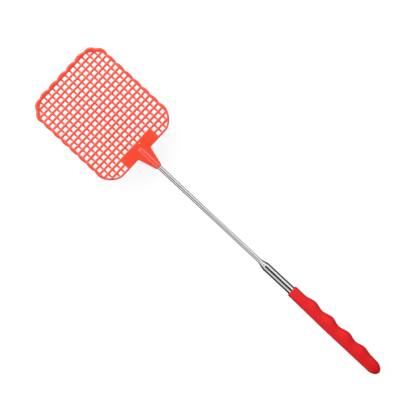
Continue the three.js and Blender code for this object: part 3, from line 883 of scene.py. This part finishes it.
def grip_plastic():
    material, tree, shader, place = new_material("grip_plastic")
    flow = noise(tree, place, 28, 4, 0.6, (1, 0.35, 1))
    handled = noise(tree, place, 75, 5, 0.65)
    # Painted light: the grip is lighter and pinker at its front, where more light and sheen fall, and
    # darker towards its rear end.
    front = mixed(tree, mapped(tree, flow, 0, 1), (0.78, 0.016, 0.02), (0.86, 0.02, 0.025))
    shaded_rear_tone = mixed(tree, mapped(tree, flow, 0, 1), (0.72, 0.007, 0.01), (0.79, 0.009, 0.012))
    tone = mixed(tree, along(tree, place, GRIP_HI.y, GRIP_LO.y), front, shaded_rear_tone)
    tone = mixed(tree, mapped(tree, handled, 0, 0.18, 0.5, 0.75), tone, (0.8, 0.035, 0.04))
    tree.links.new(tone, shader.inputs["Base Color"])
    tree.links.new(mapped(tree, handled, 0.42, 0.54), shader.inputs["Roughness"])
    shader.inputs["Specular IOR Level"].default_value = 0.15
    shader.inputs["Subsurface Weight"].default_value = 0.06
    shader.inputs["Subsurface Radius"].default_value = (1.0, 0.15, 0.12)
    shader.inputs["Subsurface Scale"].default_value = 0.001
    grain = noise(tree, place, 2200, 2, 0.6)
    sink = noise(tree, place, 60, 2, 0.5)
    bumped(tree, shader, [(sink, 0.2, 0.0002), (grain, 0.3, 0.00004)])
    return material


def steel(name, dark, light):
    material, tree, shader, place = new_material(name)
    drawn = noise(tree, place, 1, 3, 0.6, (2600, 22, 2600))
    smear = noise(tree, place, 38, 4, 0.6)
    tone = mixed(tree, mapped(tree, drawn, 0, 1), dark, light)
    tree.links.new(tone, shader.inputs["Base Color"])
    shader.inputs["Metallic"].default_value = 1
    tree.links.new(mapped(tree, smear, 0.07, 0.14), shader.inputs["Roughness"])
    bumped(tree, shader, [(drawn, 0.12, 0.00001)])
    return material


def plug_steel():
    material, tree, shader, place = new_material("plug_steel")
    rings = noise(tree, place, 1, 2, 0.6, (500, 2600, 500))
    tone = mixed(tree, mapped(tree, rings, 0, 1), (0.34, 0.34, 0.35), (0.46, 0.46, 0.47))
    tree.links.new(tone, shader.inputs["Base Color"])
    shader.inputs["Metallic"].default_value = 1
    tree.links.new(mapped(tree, rings, 0.3, 0.42), shader.inputs["Roughness"])
    bumped(tree, shader, [(rings, 0.25, 0.00002)])
    return material


def shell_brass():
    material, tree, shader, place = new_material("shell_brass")
    rolled = noise(tree, place, 1, 3, 0.6, (300, 2400, 300))
    tarnish = noise(tree, place, 420, 4, 0.6)
    tone = mixed(tree, mapped(tree, tarnish, 0, 1, 0.4, 0.75), (0.78, 0.53, 0.22), (0.5, 0.3, 0.12))
    tree.links.new(tone, shader.inputs["Base Color"])
    shader.inputs["Metallic"].default_value = 1
    tree.links.new(mapped(tree, tarnish, 0.22, 0.4), shader.inputs["Roughness"])
    bumped(tree, shader, [(rolled, 0.2, 0.00002)])
    return material


# ---------------------------------------------------------------- the object

HEAD_PLASTIC, GRIP_PLASTIC = head_plastic(), grip_plastic()
STEEL = steel("polished_steel", (0.46, 0.448, 0.442), (0.56, 0.548, 0.54))
BRIGHT_STEEL = steel("bright_steel", (0.67, 0.662, 0.655), (0.76, 0.752, 0.745))
PLUG_STEEL, SHELL_BRASS = plug_steel(), shell_brass()
SHARP = 40

MIDDLE_TUBE_1 = middle_tube_profile(1, MID_1_LO.y / MM)
MIDDLE_TUBE_2 = middle_tube_profile(2, MID_2_LO.y / MM)
TURNED_PIECES = [
    ("tube_outer", outer_tube_profile(), "handle", "outer_tube", STEEL, "steel_tube"),
    ("plug_at_base", plug_profile(), "handle", "base_plug", PLUG_STEEL, "plug_steel"),
    ("tube_middle_1", MIDDLE_TUBE_1, "middle_1", "middle_tube_1", STEEL, "steel_tube"),
    ("tube_middle_2", MIDDLE_TUBE_2, "middle_2", "middle_tube_2", STEEL, "steel_tube"),
    ("rod_inner", rod_profile(), "swatter", "inner_rod", BRIGHT_STEEL, "steel_tube"),
]

piece("head_moulding", *head_mesh(), "swatter", ["swatter_head"], HEAD_PLASTIC, "head_plastic")
piece("grip_moulding", *grip_mesh(), "handle", ["grip"], GRIP_PLASTIC, "grip_plastic")
for name, profile, body, node, material, slot in TURNED_PIECES:
    piece(name, *turned(profile, TUBE_SEGMENTS), body, [node], material, slot, SHARP)
for stage, base in ((1, MID_1_LO.y), (2, MID_2_LO.y), (3, ROD_LO.y)):
    for side, turn in (("a", 0), ("b", math.pi)):
        piece(f"shell_{stage}_{side}", *shell_mesh(stage, base / MM, turn), f"shells_{stage}",
              [f"friction_shell_{stage}_{side}"], SHELL_BRASS, "shell_brass", SHARP)


# ---------------------------------------------------------------- floor, light and camera

FLOOR_REACH, FLOOR_GAP = 12, 0.003
FLOOR_GREY, FLOOR_GLOW = 0.38, 0.69
WORLD_GLOW = 0.035
CAMERA_TURN, CAMERA_X, CAMERA_Y, CAMERA_DISTANCE = math.radians(46.97), 0.0035, 0.0196, 2.155


def pale_floor():
    """A white floor just low enough for the head to turn about the tubes above it."""
    bm = bmesh.new()
    bmesh.ops.create_grid(bm, x_segments=2, y_segments=2, size=FLOOR_REACH)
    mesh = bpy.data.meshes.new("floor")
    bm.to_mesh(mesh)
    bm.free()
    floor = bpy.data.objects.new("floor", mesh)
    bpy.context.scene.collection.objects.link(floor)
    material = bpy.data.materials.new("floor_white")
    material.use_nodes = True
    shader = material.node_tree.nodes["Principled BSDF"]
    shader.inputs["Base Color"].default_value = (FLOOR_GREY, FLOOR_GREY, FLOOR_GREY, 1)
    shader.inputs["Roughness"].default_value = 1
    shader.inputs["Specular IOR Level"].default_value = 0
    shader.inputs["Emission Color"].default_value = (1, 1, 1, 1)
    shader.inputs["Emission Strength"].default_value = FLOOR_GLOW
    mesh.materials.append(material)
    floor.visible_glossy = False
    floor.visible_diffuse = False
    floor.location.z = AXIS_Z - HEAD_HI.x - FLOOR_GAP


def soft_light(name, angle, lean, distance, width, length, power):
    """A soft box facing the object, swung from straight above sideways by angle or forward by lean."""
    light = bpy.data.lights.new(name, "AREA")
    light.shape = "RECTANGLE"
    light.size, light.size_y = width, length
    light.energy = power
    lamp = bpy.data.objects.new(name, light)
    bpy.context.scene.collection.objects.link(lamp)
    a, b = math.radians(angle), math.radians(lean)
    lamp.location = (distance * math.sin(a), distance * math.sin(b), distance * math.cos(a) * math.cos(b))
    lamp.rotation_euler = (-b, a, 0)
    lamp.visible_camera = False
    return lamp


def soft_lights():
    """A box to each side, a larger one towards the head's tip, and a fill that casts no highlights."""
    soft_light("soft_right", 52, 0, 1.3, 1.3, 1.3, 8.3)
    soft_light("soft_left", -51, 0, 1.3, 1.3, 1.3, 5.9)
    soft_light("soft_front", 0, 50, 1.3, 1.9, 1.7, 19)
    fill = soft_light("fill_above", 0, 14, 1.5, 1, 1, 5)
    fill.visible_glossy = False
    world = bpy.data.worlds.new("studio")
    world.use_nodes = True
    background = world.node_tree.nodes["Background"]
    background.inputs["Color"].default_value = (1, 1, 1, 1)
    background.inputs["Strength"].default_value = WORLD_GLOW
    bpy.context.scene.world = world


def make_camera():
    """A long lens straight above, with the tubes running from lower right to upper left."""
    data = bpy.data.cameras.new("camera")
    data.lens, data.sensor_width = 180, 36
    data.clip_end = 100
    camera = bpy.data.objects.new("camera", data)
    bpy.context.scene.collection.objects.link(camera)
    right = Vector((math.cos(CAMERA_TURN), -math.sin(CAMERA_TURN), 0))
    up = Vector((math.sin(CAMERA_TURN), math.cos(CAMERA_TURN), 0))
    basis = Matrix((right, up, Vector((0, 0, 1)))).transposed().to_4x4()
    place = Matrix.Translation((CAMERA_X, CAMERA_Y, AXIS_Z + CAMERA_DISTANCE))
    camera.matrix_world = place @ basis
    bpy.context.scene.camera = camera


pale_floor()
soft_lights()
make_camera()
bpy.context.scene.view_settings.view_transform = "Standard"
